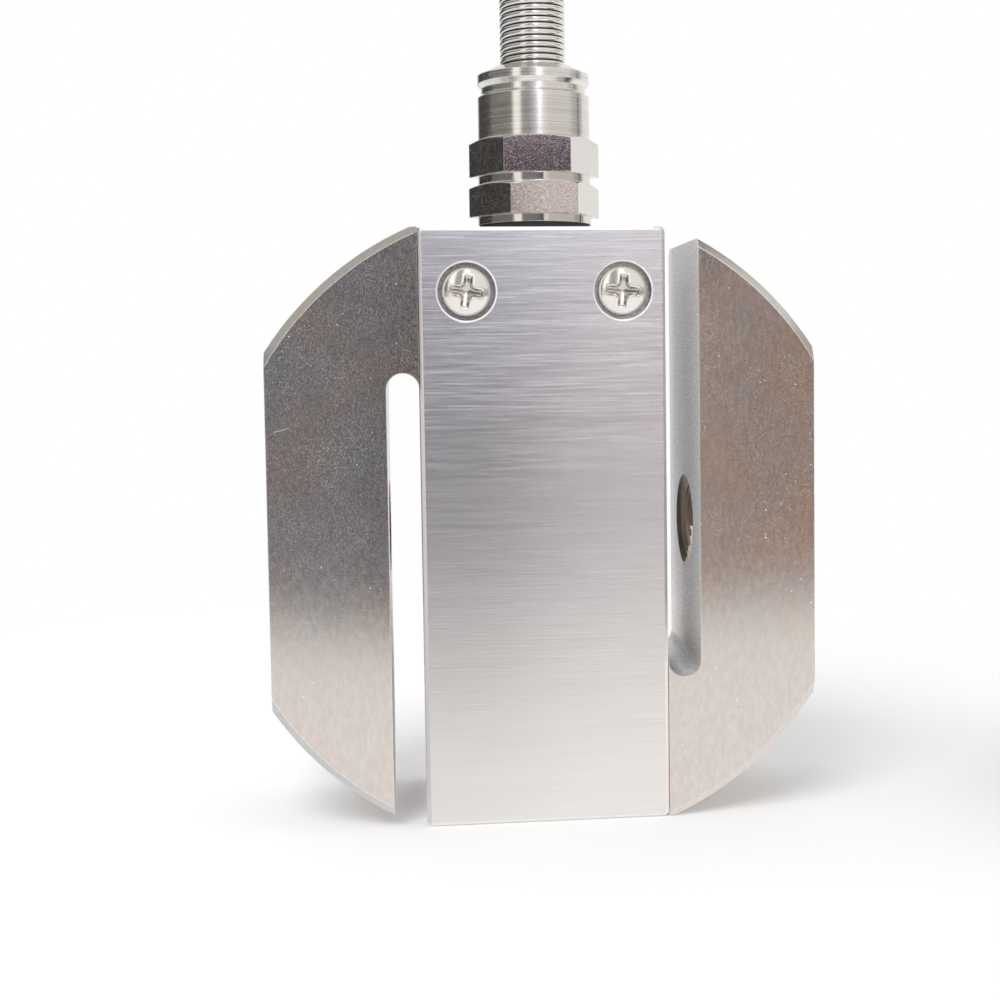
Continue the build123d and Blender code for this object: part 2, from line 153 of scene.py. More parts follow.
# %% Cable
cable_curve = bpy.data.curves.new("lead_cable", "CURVE")
cable_curve.dimensions = "3D"
cable_curve.bevel_depth = 1.0
cable_curve.bevel_resolution = 5
cable_curve.resolution_u = 10
cable_curve.use_fill_caps = True
spline = cable_curve.splines.new("NURBS")
spline.points.add(len(route) - 1)
for control, point in zip(spline.points, route):
    control.co = (*(point * MM), 1)
    control.radius = cable_radius * MM
spline.order_u = 3
spline.use_endpoint_u = True
lead_cable = bpy.data.objects.new("lead_cable", cable_curve)
bpy.context.scene.collection.objects.link(lead_cable)
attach(lead_cable, "root")
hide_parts("cable", "cable_coil")
print("cable of", len(spline.points), "points")

# %% [markdown]
# ## Guard spring
# The spring that keeps the cable from kinking is close-wound round wire. The solid stands in for it
# with plain rings. Here a small ring of vertices is carried along a helix, so each turn climbs by
# the wire's own thickness, as it does when the spring is wound on a mandrel.

# %% A helper that turns points and faces into a piece
def new_piece(name, points, faces):
    """A mesh object of points in mm, linked to the scene and riding on the object."""
    mesh = bpy.data.meshes.new(name)
    mesh.from_pydata([point * MM for point in points], [], faces)
    piece = bpy.data.objects.new(name, mesh)
    bpy.context.scene.collection.objects.link(piece)
    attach(piece, "root")
    return piece


def mark(piece, name, values):
    """Keeps a number for each point, which a material can read by that name."""
    piece.data.attributes.new(name, "FLOAT", "POINT").data.foreach_set("value", values)


# %% A helper that turns rings of points into a tube
def tube(name, rings, smooth):
    """A piece whose skin joins each ring of points to the next, with both ends closed."""
    sides = len(rings[0])
    points = [point for ring in rings for point in ring]
    faces = []
    for row in range(len(rings) - 1):
        for side in range(sides):
            across = (side + 1) % sides
            near, far = row * sides, (row + 1) * sides
            faces.append((near + side, near + across, far + across, far + side))
    skin = len(faces)
    faces.append(tuple(reversed(range(sides))))
    faces.append(tuple(range(len(points) - sides, len(points))))
    piece = new_piece(name, points, faces)
    piece.data.validate()
    for polygon in piece.data.polygons[:skin]:
        polygon.use_smooth = smooth
    return piece


# %% Guard spring wire
spring_base, spring_top = 97.0, 125.8
wire = 0.8
wire_ring = 3.98
wire_sides = 10
spring_turns = 35
turn_steps = 44
spring_steps = spring_turns * turn_steps
round_the_wire = [2 * math.pi * side / wire_sides for side in range(wire_sides)]
rings = []
for step in range(spring_steps + 1):
    angle = 2 * math.pi * step / turn_steps
    middle = spring_base + wire / 2 + (spring_top - spring_base - wire) * step / spring_steps
    ring = []
    for around in round_the_wire:
        radius = wire_ring + wire / 2 * math.cos(around)
        height = middle + wire / 2 * math.sin(around)
        ring.append(Vector((radius * math.cos(angle), radius * math.sin(angle), height)))
    rings.append(ring)
wound_spring = tube("wound_guard_spring", rings, smooth=True)

# The mark is 0 on the wire's outermost line and rises to 1 where two turns meet.
# It carries painted shade between the turns.
gap = [min(max(1.25 - 1.6 * max(math.cos(around), 0), 0), 1) for around in round_the_wire]
mark(wound_spring, "recess", gap * len(rings))
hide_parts("guard_spring")
print("spring of", spring_turns, "turns,", len(wound_spring.data.polygons), "faces")

# %% [markdown]
# ## Threads of the load holes
# An M12 thread climbs 1.75 mm a turn. The solid leaves it out, because a helix cut into a block is
# heavy. A ridge that winds along the wall of the hole shows the same crests and valleys.

# %% Thread ridges
load_axis_height = 37.85
hole_wall = 5.22
lead_in = 1.0
slot_mouth, face_mouth = 20.15, 35.25
thread_start, thread_end = 20.2, 35.2
thread_pitch = 1.75
thread_steps = 48
ridge_height = 0.5
ridge_foot, ridge_crest = 0.8, 0.18
ridge_margin = 0.85


def wall_radius(x):
    """Radius of the hole's wall, which opens by 45 degrees in the lead-ins at its mouths."""
    into_lead_in = max(lead_in - (abs(x) - slot_mouth), abs(x) - (face_mouth - lead_in), 0)
    return hole_wall + into_lead_in


def thread(name, x_start, x_end):
    """A ridge that winds along the wall of a load hole from x_start to x_end."""
    length = x_end - x_start
    steps = int(length / thread_pitch * thread_steps)
    profile = [(-ridge_foot, 0), (-ridge_crest, ridge_height), (ridge_crest, ridge_height), (ridge_foot, 0)]
    rings = []
    for step in range(steps + 1):
        angle = math.pi + 2 * math.pi * step / thread_steps
        middle = x_start + ridge_margin + (length - 2 * ridge_margin) * step / steps
        ring = []
        for offset, height in profile:
            x = middle + offset
            radius = wall_radius(x) - height
            ring.append(Vector((x, radius * math.cos(angle), load_axis_height + radius * math.sin(angle))))
        rings.append(ring)
    piece = tube(name, rings, smooth=False)
    return piece


left_thread = thread("left_load_thread_ridge", -thread_end, -thread_start)
right_thread = thread("right_load_thread_ridge", thread_start, thread_end)
print("thread ridges", len(left_thread.data.polygons), "faces each")

# %% [markdown]
# ## Burr
# The tap has pushed up a ragged curl of steel at the mouth of the right load hole. It is a narrow
# strip along the near, lower part of the rim. Each step along it has a foot on the wall, a crest
# and a torn tip that reaches over the hole by a random share.

# %% Burr at the mouth of the right load hole
burr_start, burr_end = 2, 96
burr_steps = 54
burr_foot, burr_crest, burr_tip = 6.3, 6.05, 5.95


def burr(name, wall_x):
    """A ragged curl of steel that the tap has left on the near, lower edge of the hole."""
    chance = random.Random(5)
    points, faces = [], []
    for step in range(burr_steps + 1):
        share = step / burr_steps
        angle = math.radians(burr_start + (burr_end - burr_start) * share)
        strength = math.sin(math.pi * min(0.12 + share * 0.9, 1))
        reach = strength * chance.uniform(0.15, 1.0)
        foot = (burr_foot + 0.3 * strength * chance.random(), 0.02)
        crest = (burr_crest, 0.08 + 0.3 * reach)
        tip = (burr_tip - 1.2 * reach, 0.05 + 0.35 * chance.random())
        for radius, out in (foot, crest, tip):
            y, z = -radius * math.cos(angle), load_axis_height - radius * math.sin(angle)
            points.append(Vector((wall_x - out, y, z)))
    for step in range(burr_steps):
        for band in (0, 1):
            corner = step * 3 + band
            faces.append((corner, corner + 1, corner + 4, corner + 3))
    piece = new_piece(name, points, faces)
    mark(piece, "burr", [1.0] * len(points))
    return piece


load_hole_burr = burr("load_hole_burr", slot_mouth)
print("burr of", len(load_hole_burr.data.polygons), "faces")

# %% [markdown]
# ## Cover screws
# The covers are held by pan heads with a cross recess. A recess cut by a loft has knife edges, but
# the real one is pressed, so its edges roll over and catch the light. Here each head is a round grid
# of points whose height is the dome, less the recess wherever a point lies inside the cross.

# %% Shape of a pan head
head_radius = 3.1
head_height = 1.8
dome_radius = 5.8
rim_width, rim_fall = 0.22, 0.9
recess_reach = 2.1
recess_half_width = 0.53
recess_depth, recess_end_depth = 1.05, 0.3
recess_lip, recess_slope = 0.12, 0.42
corner_roll = 0.7
pit_radius = 0.85


def outside_box(x, y, half_x, half_y):
    """Distance from a box outline, negative inside."""
    over_x, over_y = abs(x) - half_x, abs(y) - half_y
    return math.hypot(max(over_x, 0), max(over_y, 0)) + min(max(over_x, over_y), 0)


def outside_cross(x, y):
    """Distance from the outline of the cross and the round pit in it, with rolled inner corners."""
    across = outside_box(x, y, recess_reach, recess_half_width)
    upright = outside_box(x, y, recess_half_width, recess_reach)
    share = max(corner_roll - abs(across - upright), 0) / corner_roll
    return min(across, upright, math.hypot(x, y) - pit_radius) - share * share * corner_roll / 4


def head_surface(x, y):
    """Height of the head above its seat at a point, and how far inside the recess the point is."""
    from_middle = min(math.hypot(x, y), head_radius)
    dome = head_height - dome_radius + math.sqrt(dome_radius**2 - from_middle**2)
    dome -= rim_fall * max(from_middle - (head_radius - rim_width), 0)
    inside = min(max((recess_lip - outside_cross(x, y)) / recess_slope, 0), 1)
    inside = inside * inside * (3 - 2 * inside)
    towards_middle = max(1 - from_middle / recess_reach, 0)
    depth = recess_end_depth + (recess_depth - recess_end_depth) * towards_middle**0.8
    return dome - inside * depth, inside


# %% Profile of a screw, from the middle of its head out and down to its tip
head_rings, head_sides = 34, 112
# The head's outer ring of this width gets a painted highlight
rim_highlight_width = 0.25
shank_crest, shank_root, shank_tip = 1.45, 1.25, 1.0
shank_pitch, shank_turns, shank_end = 0.5, 11, -6.0

# Each ring has a radius and a height above the seat. On the head the height is left to the dome
screw_profile = [(head_radius * ring / head_rings, None) for ring in range(1, head_rings + 1)]
screw_profile += [(head_radius, 0.0), (shank_crest, 0.0)]
for groove in range(shank_turns):
    crest = -(0.5 + groove) * shank_pitch
    screw_profile += [(shank_crest, crest), (shank_root, crest - shank_pitch / 2)]
screw_profile += [(shank_tip, shank_end)]
print("screw profile of", len(screw_profile), "rings")

# %% Pan head screws
head_seat = 9.75
cross_turns = {
    "front_screw_left": -9,
    "front_screw_right": -5,
    "rear_screw_left": 14,
    "rear_screw_right": -22,
}


def pan_head(name, turn):
    """A screw whose head has a rolled cross recess, in place of the CAD node of that name."""
    low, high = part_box(name)
    middle_x, middle_z = (low.x + high.x) / 2 / MM, (low.z + high.z) / 2 / MM
    out = -1 if low.y < 0 else 1
    lean = math.radians(turn)
    points, faces, sunk, painted_light = [], [], [], []
    for radius, height in screw_profile:
        for side in range(head_sides):
            angle = 2 * math.pi * side / head_sides
            x, y = radius * math.cos(angle), radius * math.sin(angle)
            up, inside = head_surface(x, y) if height is None else (height, 0)
            sunk.append(inside)
            painted_light.append(float(radius > head_radius - rim_highlight_width and not height))
            turned_x = x * math.cos(lean) - y * math.sin(lean)
            turned_z = x * math.sin(lean) + y * math.cos(lean)
            points.append(Vector((middle_x - out * turned_x, out * (head_seat + up), middle_z + turned_z)))
    for row in range(len(screw_profile) - 1):
        near, far = row * head_sides, (row + 1) * head_sides
        for side in range(head_sides):
            across = (side + 1) % head_sides
            faces.append((near + side, far + side, far + across, near + across))
    tip = (len(screw_profile) - 1) * head_sides
    faces.append(tuple(range(tip, tip + head_sides)))
    points.append(Vector((middle_x, out * (head_seat + head_surface(0, 0)[0]), middle_z)))
    sunk.append(1)
    painted_light.append(0)
    for side in range(head_sides):
        faces.append((len(points) - 1, side, (side + 1) % head_sides))
    piece = new_piece("pan_" + name, points, faces)
    # The recess is marked for painted shade, the head's outer ring for a painted highlight
    mark(piece, "recess", sunk)
    mark(piece, "painted_light", painted_light)
    for polygon in piece.data.polygons:
        polygon.use_smooth = True
    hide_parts(name)
    return piece


pan_heads = [pan_head(name, turn) for name, turn in cross_turns.items()]
print(len(pan_heads), "pan heads of", len(pan_heads[0].data.polygons), "faces")

# %% [markdown]
# ## Floor
# The cell stands on a plain white surface. The floor isn't attached to the object, so it isn't part of it.
# Mirrored rays miss it, because the studio below gives the metal its own white ground.

# %% Floor
floor_reach = 3
corners = [(-1, -1), (1, -1), (1, 1), (-1, 1)]
floor_mesh = bpy.data.meshes.new("studio_floor")
floor_mesh.from_pydata([(x * floor_reach, y * floor_reach, 0) for x, y in corners], [], [(0, 1, 2, 3)])
floor = bpy.data.objects.new("studio_floor", floor_mesh)
bpy.context.scene.collection.objects.link(floor)
floor.visible_glossy = False
print("floor of", 2 * floor_reach, "m")

# %% [markdown]
# ## Node helpers
# Every finish is built from nodes. These helpers add a node, set its values and link it in one line,
# so that each material below reads as a short recipe. A mask is a value that is 1 where a look
# belongs and 0 elsewhere, so masks are joined by multiplying them.

# %% Node helpers
def add(tree, kind, inputs=None, **settings):
    """A node in the tree. inputs gives a value or a link for each input, by name or number."""
    node = tree.nodes.new(kind)
    for key, value in settings.items():
        setattr(node, key, value)
    for key, value in (inputs or {}).items():
        if isinstance(value, bpy.types.NodeSocket):
            tree.links.new(value, node.inputs[key])
        else:
            node.inputs[key].default_value = value
    return node


def maths(tree, operation, *values, clamp=False):
    """The result of a Math node."""
    node = add(tree, "ShaderNodeMath", dict(enumerate(values)), operation=operation, use_clamp=clamp)
    return node.outputs[0]


def times(tree, first, *others):
    """The product of the values."""
    for other in others:
        first = maths(tree, "MULTIPLY", first, other)
    return first


def largest(tree, first, *others):
    """The largest of the values."""
    for other in others:
        first = maths(tree, "MAXIMUM", first, other)
    return first


def rest_of(tree, value):
    """One less the value."""
    return maths(tree, "SUBTRACT", 1.0, value)


def size_of(tree, value):
    """The value without its sign."""
    return maths(tree, "ABSOLUTE", value)


def apart(tree, value, middle):
    """How far the value is from the middle, on either side."""
    return size_of(tree, maths(tree, "SUBTRACT", value, middle))


def spread(tree, value, low, high, to_low=0.0, to_high=1.0):
    """The value moved from the range low to high onto another range, held at its ends."""
    names = {"Value": value, "From Min": low, "From Max": high, "To Min": to_low, "To Max": to_high}
    return add(tree, "ShaderNodeMapRange", names).outputs[0]


# %% Colour helpers
def blend_colours(tree, share, first, second):
    """A colour between two others. Each is a link, or three numbers for red, green and blue."""
    first, second = ((*tone, 1) if isinstance(tone, tuple) else tone for tone in (first, second))
    node = add(tree, "ShaderNodeMix", {"Factor": share, "A": first, "B": second}, data_type="RGBA")
    return node.outputs["Result"]


def scaled(tree, colour, factor):
    """A colour made lighter or darker."""
    return add(tree, "ShaderNodeVectorMath", {0: colour, "Scale": factor}, operation="SCALE").outputs[0]


def ramp(tree, factor, stops):
    """A straight colour ramp with the given (place, colour) stops."""
    node = add(tree, "ShaderNodeValToRGB", {"Fac": factor})
    node.color_ramp.interpolation = "LINEAR"
    elements = node.color_ramp.elements
    while len(elements) > 1:
        elements.remove(elements[-1])
    elements[0].position = stops[0][0]
    elements[0].color = (*stops[0][1], 1)
    for place, colour in stops[1:]:
        elements.new(place).color = (*colour, 1)
    return node.outputs["Color"]


# %% [markdown]
# ## Studio
# Steel shows the room rather than its own colour. So the world has three sides: plain white for the
# camera, an even level that lights plain colours as they are written, and a room for mirrored rays.
# In front, that room is bright below, where the white table is, dim and brown at the height of the
# camera, and bright again above, where the soft box hangs. Round the compass it has four rings of
# tones, one above the other, which follow the streaks on the gland.

# %% Tones round the compass, where 0 is the front and 90 the right
low_tones = [
    (-180, (0.90, 0.90, 0.90)),
    (-163, (0.90, 0.90, 0.90)),
    (-156, (0.080, 0.074, 0.070)),
    (-125, (0.080, 0.074, 0.070)),
    (-108, (0.46, 0.45, 0.46)),
    (-52, (0.46, 0.45, 0.46)),
    (-44, (0.95, 0.92, 0.86)),
    (-33, (0.95, 0.92, 0.86)),
    (-28, (0.25, 0.235, 0.24)),
    (-8, (0.235, 0.22, 0.235)),
    (-1, (0.22, 0.205, 0.225)),
    (0.5, (0.05, 0.05, 0.06)),
    (2.5, (0.06, 0.06, 0.07)),
    (5.5, (0.21, 0.20, 0.225)),
    (7.5, (0.60, 0.56, 0.57)),
    (9.2, (0.60, 0.55, 0.55)),
    (10.4, (0.38, 0.275, 0.23)),
    (16, (0.38, 0.275, 0.23)),
    (24, (0.50, 0.44, 0.41)),
    (66, (0.50, 0.46, 0.43)),
    (76, (0.92, 0.90, 0.88)),
    (180, (0.98, 0.96, 0.93)),
]
middle_tones = [
    (-180, (0.90, 0.90, 0.90)),
    (-163, (0.90, 0.90, 0.90)),
    (-156, (0.050, 0.047, 0.045)),
    (-106, (0.045, 0.043, 0.041)),
    (-96, (0.17, 0.155, 0.14)),
    (-50, (0.20, 0.185, 0.17)),
    (-44, (1.05, 1.02, 0.96)),
    (-33, (1.05, 1.02, 0.96)),
    (-28, (0.25, 0.235, 0.24)),
    (-4, (0.20, 0.19, 0.21)),
    (4, (0.16, 0.145, 0.165)),
    (12.5, (0.13, 0.105, 0.12)),
    (15.5, (0.98, 0.86, 0.80)),
    (21.5, (0.84, 0.74, 0.69)),
    (26, (0.66, 0.58, 0.55)),
    (78, (0.62, 0.59, 0.56)),
    (88, (0.44, 0.41, 0.38)),
    (108, (0.44, 0.41, 0.38)),
    (116, (0.97, 0.95, 0.93)),
    (180, (0.98, 0.96, 0.93)),
]
high_tones = [
    (-180, (0.95, 0.95, 0.95)),
    (-163, (0.95, 0.95, 0.95)),
    (-156, (0.080, 0.074, 0.070)),
    (-112, (0.085, 0.078, 0.072)),
    (-100, (0.24, 0.23, 0.20)),
    (-50, (0.27, 0.26, 0.22)),
    (-44, (1.42, 1.38, 1.30)),
    (-33, (1.42, 1.38, 1.30)),
    (-28, (0.47, 0.46, 0.42)),
    (-14, (0.47, 0.46, 0.45)),
    (-6, (0.85, 0.86, 0.92)),
    (1, (1.25, 1.27, 1.36)),
    (5, (2.42, 2.45, 2.60)),
    (8.5, (3.25, 3.27, 3.41)),
    (11.5, (2.7, 2.7, 2.75)),
    (15, (1.15, 1.13, 1.12)),
    (25, (0.97, 0.95, 0.93)),
    (74, (0.95, 0.93, 0.90)),
    (84, (0.62, 0.60, 0.57)),
    (108, (0.62, 0.60, 0.57)),
    (116, (1.02, 1.0, 0.98)),
    (180, (1.0, 0.98, 0.96)),
]
overhead_tones = [
    (-180, (0.95, 0.95, 0.95)),
    (-150, (0.60, 0.61, 0.58)),
    (-50, (0.60, 0.61, 0.58)),
    *(stop for stop in high_tones if -44 <= stop[0] <= 25),
    (60, (0.97, 0.96, 0.94)),
    (180, (0.95, 0.95, 0.95)),
]
table_tones = [
    (-150, (1.133, 1.10, 1.067)),
    (-135, (0.92, 0.97, 1.02)),
    (-75, (0.92, 0.97, 1.02)),
    (-35, (1.133, 1.10, 1.067)),
]
zenith_tone = (1.6, 1.6, 1.6)

# Between which two tilts, in degrees, each ring takes over from the one below it
middle_edge, high_edge, overhead_edge, zenith_edge = (2.5, 3.5), (8.5, 9.3), (26.0, 32.0), (74.0, 84.0)

# The tilt of the table's far edge, and how it climbs to both sides of the front, in degrees for
# each radian round the compass. Past the last two turns it climbs no further
table_edge = (-9.9, -11.6)
climb_right, climb_left = 5.2, -7.5
last_left, last_right = -0.2, 0.5
print(len(low_tones) + len(middle_tones) + len(high_tones), "tones round the compass")

# %% World
world = bpy.data.worlds.new("studio")
bpy.context.scene.world = world
world.use_nodes = True
world.cycles.sampling_method = "NONE"
tree = world.node_tree
tree.nodes.clear()
direction = add(tree, "ShaderNodeTexCoord").outputs["Generated"]
parts = add(tree, "ShaderNodeSeparateXYZ", {0: direction}).outputs
compass = maths(tree, "ARCTAN2", parts["X"], maths(tree, "MULTIPLY", parts["Y"], -1.0))
turn_share = spread(tree, compass, -math.pi, math.pi)
tilt = maths(tree, "MULTIPLY", maths(tree, "ARCSINE", parts["Z"]), 180 / math.pi)


def round_the_compass(stops):
    """A tone for each direction, from (degrees, colour) stops."""
    return ramp(tree, turn_share, [((degrees + 180) / 360, colour) for degrees, colour in stops])


room = round_the_compass(low_tones)
for edge, tone in (
    (middle_edge, round_the_compass(middle_tones)),
    (high_edge, round_the_compass(high_tones)),
    (overhead_edge, round_the_compass(overhead_tones)),
    (zenith_edge, zenith_tone),
):
    room = blend_colours(tree, spread(tree, tilt, *edge), room, tone)
aside = maths(tree, "MINIMUM", maths(tree, "MAXIMUM", compass, last_left), last_right)
climb = largest(tree, maths(tree, "MULTIPLY", aside, climb_right), maths(tree, "MULTIPLY", aside, climb_left))
on_table = spread(tree, maths(tree, "SUBTRACT", tilt, climb), *table_edge)
room = blend_colours(tree, on_table, room, round_the_compass(table_tones))
mirrored = add(tree, "ShaderNodeBackground", {"Color": room, "Strength": 1.0})
plain = add(tree, "ShaderNodeBackground", {"Color": (1, 1, 1, 1), "Strength": 0.85})
white = add(tree, "ShaderNodeBackground", {"Color": (1, 1, 1, 1), "Strength": 1.0})
rays = add(tree, "ShaderNodeLightPath").outputs
glossy = rays["Is Glossy Ray"]
lit = add(tree, "ShaderNodeMixShader", {0: glossy, 1: plain.outputs[0], 2: mirrored.outputs[0]})
seen = largest(tree, rays["Is Camera Ray"], rays["Is Transmission Ray"])
shown = add(tree, "ShaderNodeMixShader", {0: seen, 1: lit.outputs[0], 2: white.outputs[0]})
add(tree, "ShaderNodeOutputWorld", {"Surface": shown.outputs[0]})
print("studio of", len(tree.nodes), "nodes")

# %% Key lamp
lamp_place, lamp_back = Vector((-0.35, -0.6, 0.9)), Vector((-0.35, -0.6, 0.85))
lamp_data = bpy.data.lights.new("soft_key", "AREA")
lamp_data.shape = "DISK"
lamp_data.size = 0.6
lamp_data.energy = 5
lamp = bpy.data.objects.new("soft_key", lamp_data)
lamp.matrix_world = Matrix.Translation(lamp_place) @ lamp_back.to_track_quat("Z", "Y").to_matrix().to_4x4()
lamp.visible_glossy = False
bpy.context.scene.collection.objects.link(lamp)
print("lamp of", lamp_data.energy, "W")

# %% [markdown]
# ## Shared effects
# Grain, specks and slow changes of tone turn up on several pieces, so each is a node group
# with named values. A group only puts out masks, values and normals. The shader stays in the material.

# %% Group helper
def new_group(name, inputs, outputs):
    """A shader node group with these (name, kind, value) inputs and (name, kind) outputs."""
    group = bpy.data.node_groups.new(name, "ShaderNodeTree")
    for socket, kind, value in inputs:
        item = group.interface.new_socket(name=socket, in_out="INPUT", socket_type="NodeSocket" + kind)
        item.default_value = value
    for socket, kind in outputs:
        group.interface.new_socket(name=socket, in_out="OUTPUT", socket_type="NodeSocket" + kind)
    entry = group.nodes.new("NodeGroupInput").outputs
    leave = group.nodes.new("NodeGroupOutput").inputs
    return group, entry, leave


# %% Grain left by a belt or a lathe tool
grain, entry, leave = new_group(
    "drawn_grain",
    [("Stretch", "Vector", (60.0, 60.0, 6000.0)), ("Depth", "Float", 0.00001), ("Edge", "Float", 0.0)],
    [("Streaks", "Float"), ("Broad", "Float"), ("Normal", "Vector"), ("Rim", "Float")],
)
place = add(grain, "ShaderNodeTexCoord").outputs["Object"]
stretched = add(grain, "ShaderNodeMapping", {"Vector": place, "Scale": entry["Stretch"]}).outputs[0]
fine_noise = {"Vector": stretched, "Scale": 1.0, "Detail": 3.0, "Roughness": 0.6}
fine = add(grain, "ShaderNodeTexNoise", fine_noise).outputs[0]
wide = add(grain, "ShaderNodeTexNoise", {"Vector": stretched, "Scale": 0.22, "Detail": 2.0}).outputs[0]
grain.links.new(fine, leave["Streaks"])
grain.links.new(wide, leave["Broad"])
relief = maths(grain, "ADD", fine, maths(grain, "MULTIPLY", wide, 0.6))
rounded = add(grain, "ShaderNodeBevel", {"Radius": entry["Edge"]}, samples=4).outputs[0]
flat_normal = add(grain, "ShaderNodeNewGeometry").outputs["Normal"]
agree = add(grain, "ShaderNodeVectorMath", {0: rounded, 1: flat_normal}, operation="DOT_PRODUCT")
grain.links.new(spread(grain, agree.outputs["Value"], 0.998, 0.95), leave["Rim"])
bumped = {"Height": relief, "Distance": entry["Depth"], "Strength": 1.0, "Normal": rounded}
grain.links.new(add(grain, "ShaderNodeBump", bumped).outputs[0], leave["Normal"])

# %% Specks: small pits on an upright face, which the materials paint bright as glints
specks, entry, leave = new_group(
    "bright_specks",
    [("Cells", "Float", 500.0), ("Size", "Float", 0.06), ("Share", "Float", 0.5)],
    [("Mask", "Float")],
)
place = add(specks, "ShaderNodeTexCoord").outputs["Object"]
flat = add(specks, "ShaderNodeMapping", {"Vector": place, "Scale": (1.0, 0.0, 1.0)}).outputs[0]
cells = add(specks, "ShaderNodeTexVoronoi", {"Vector": flat, "Scale": entry["Cells"]}).outputs
chance = add(specks, "ShaderNodeSeparateColor", {0: cells["Color"]}).outputs
kept = maths(specks, "LESS_THAN", chance[0], entry["Share"])
limit = times(specks, entry["Size"], maths(specks, "ADD", chance[1], 0.4))
dot = spread(specks, maths(specks, "DIVIDE", cells["Distance"], limit), 1.0, 0.6)
specks.links.new(times(specks, dot, kept), leave["Mask"])

# %% Slow change of tone over a face
tones, entry, leave = new_group(
    "slow_tone",
    [("Scale", "Float", 40.0), ("Low", "Float", 0.0), ("High", "Float", 1.0)],
    [("Tone", "Float")],
)
place = add(tones, "ShaderNodeTexCoord").outputs["Object"]
cloud = add(tones, "ShaderNodeTexNoise", {"Vector": place, "Scale": entry["Scale"], "Detail": 2.0}).outputs[0]
tones.links.new(spread(tones, cloud, 0.3, 0.7, entry["Low"], entry["High"]), leave["Tone"])
print("shared effects:", ", ".join(group.name for group in bpy.data.node_groups))


# %% Material helpers
def use(tree, group, **values):
    """One of the shared effects, placed in a material with its own values."""
    node = tree.nodes.new("ShaderNodeGroup")
    node.node_tree = group
    for key, value in values.items():
        node.inputs[key].default_value = value
    return node.outputs


def new_material(name):
    """An empty material with its Principled BSDF."""
    material = bpy.data.materials.new(name)
    material.use_nodes = True
    tree = material.node_tree
    return material, tree, tree.nodes["Principled BSDF"]


def connect(tree, shader, **links):
    """Sets or links the shader's sockets. An underscore in a name stands for a space."""
    for key, value in links.items():
        socket = shader.inputs[key.replace("_", " ")]
        if isinstance(value, bpy.types.NodeSocket):
            tree.links.new(value, socket)
        else:
            socket.default_value = value


def place_and_face(tree):
    """The X, Y and Z of a point, in metres, and of its normal."""
    geometry = add(tree, "ShaderNodeNewGeometry").outputs
    vectors = (geometry["Position"], geometry["Normal"])
    return [add(tree, "ShaderNodeSeparateXYZ", {0: vector}).outputs for vector in vectors]


def upright_tangent(tree):
    """The direction that stretches a highlight, taken round the upright axis."""
    return add(tree, "ShaderNodeTangent", direction_type="RADIAL", axis="Z").outputs[0]


def scratch(tree, place, start, end, half_width):
    """A mask that is 1 on a thin straight mark between two (x, z) points in mm."""
    run = (end[0] - start[0], end[1] - start[1])
    length = math.hypot(*run)
    over = maths(tree, "SUBTRACT", place["X"], start[0] * MM)
    up = maths(tree, "SUBTRACT", place["Z"], start[1] * MM)
    along = maths(tree, "ADD", times(tree, over, run[0] / length), times(tree, up, run[1] / length))
    off = apart(tree, times(tree, over, run[1] / length), times(tree, up, run[0] / length))
    thin = spread(tree, off, half_width * MM, half_width * MM / 3)
    begun = spread(tree, along, 0.0, 0.4 * MM)
    not_over = spread(tree, along, length * MM, (length - 0.4) * MM)
    return times(tree, thin, begun, not_over)


# %% [markdown]
# ## Machined steel
# The body is cut from one bar. Its faces were ground upright, which leaves a fine grain and small pits
# that crowd together here and there, painted bright as glints. The slots were cut by wire, so their
# walls are matt and even. One material serves the whole body, and masks made from the place of a point
# on the body say which look goes where.

# %% Places on the body
slot_middle, slot_half_width = 17.95, 2.2
hole_reach, hole_start = 6.19, 19.0
cover_edge = 15.75

machined_steel, tree, shader = new_material("machined_steel")
place, face = place_and_face(tree)
aside = size_of(tree, place["X"])
front = maths(tree, "GREATER_THAN", size_of(tree, face["Y"]), 0.9)
edge_on = maths(tree, "LESS_THAN", size_of(tree, face["Y"]), 0.6)
in_slot = maths(tree, "LESS_THAN", apart(tree, aside, slot_middle * MM), slot_half_width * MM)
wall = times(tree, in_slot, edge_on)
above_axis = maths(tree, "SUBTRACT", place["Z"], load_axis_height * MM)
squares = (maths(tree, "POWER", part, 2.0) for part in (place["Y"], above_axis))
from_axis = maths(tree, "SQRT", maths(tree, "ADD", *squares))
past_slot = maths(tree, "GREATER_THAN", aside, hole_start * MM)
hole = times(tree, maths(tree, "LESS_THAN", from_axis, hole_reach * MM), past_slot)
from_cover = apart(tree, aside, cover_edge * MM)

# %% Colour of the ground faces
grained = use(tree, grain, Stretch=(8200.0, 8200.0, 3800.0), Depth=0.000002, Edge=0.00016)
drift = use(tree, tones, Scale=95.0, Low=0.0, High=1.0)["Tone"]
upper = spread(tree, place["Z"], 18.0 * MM, 34.0 * MM)
patches = times(tree, maths(tree, "SUBTRACT", drift, 0.5), upper)
patches = maths(tree, "ADD", patches, 0.5)
colour = blend_colours(tree, patches, (0.585, 0.585, 0.590), (0.655, 0.585, 0.520))
colour = scaled(tree, colour, spread(tree, grained["Broad"], 0.3, 0.7, 0.93, 1.05))

# %% Colour of the slot walls, with painted shade towards the bottom and a lighter band on the outer wall of the left slot
cast = use(tree, grain, Stretch=(3300.0, 3300.0, 3300.0), Depth=0.00002)
mottle = spread(tree, cast["Streaks"], 0.40, 0.62)
matt = blend_colours(tree, mottle, (0.62, 0.61, 0.615), (0.98, 0.97, 0.975))
# Painted shade: the walls darken towards the bottom
matt = scaled(tree, matt, spread(tree, place["Z"], 18.5 * MM, 25.0 * MM, 0.80, 1.0))
colour = blend_colours(tree, wall, colour, matt)
outer_wall = spread(tree, place["X"], -19.0 * MM, -19.5 * MM)
lighter_band = times(tree, outer_wall, spread(tree, place["Z"], 20.0 * MM, 40.0 * MM), wall)
colour = blend_colours(tree, lighter_band, colour, (0.97, 0.92, 0.92))
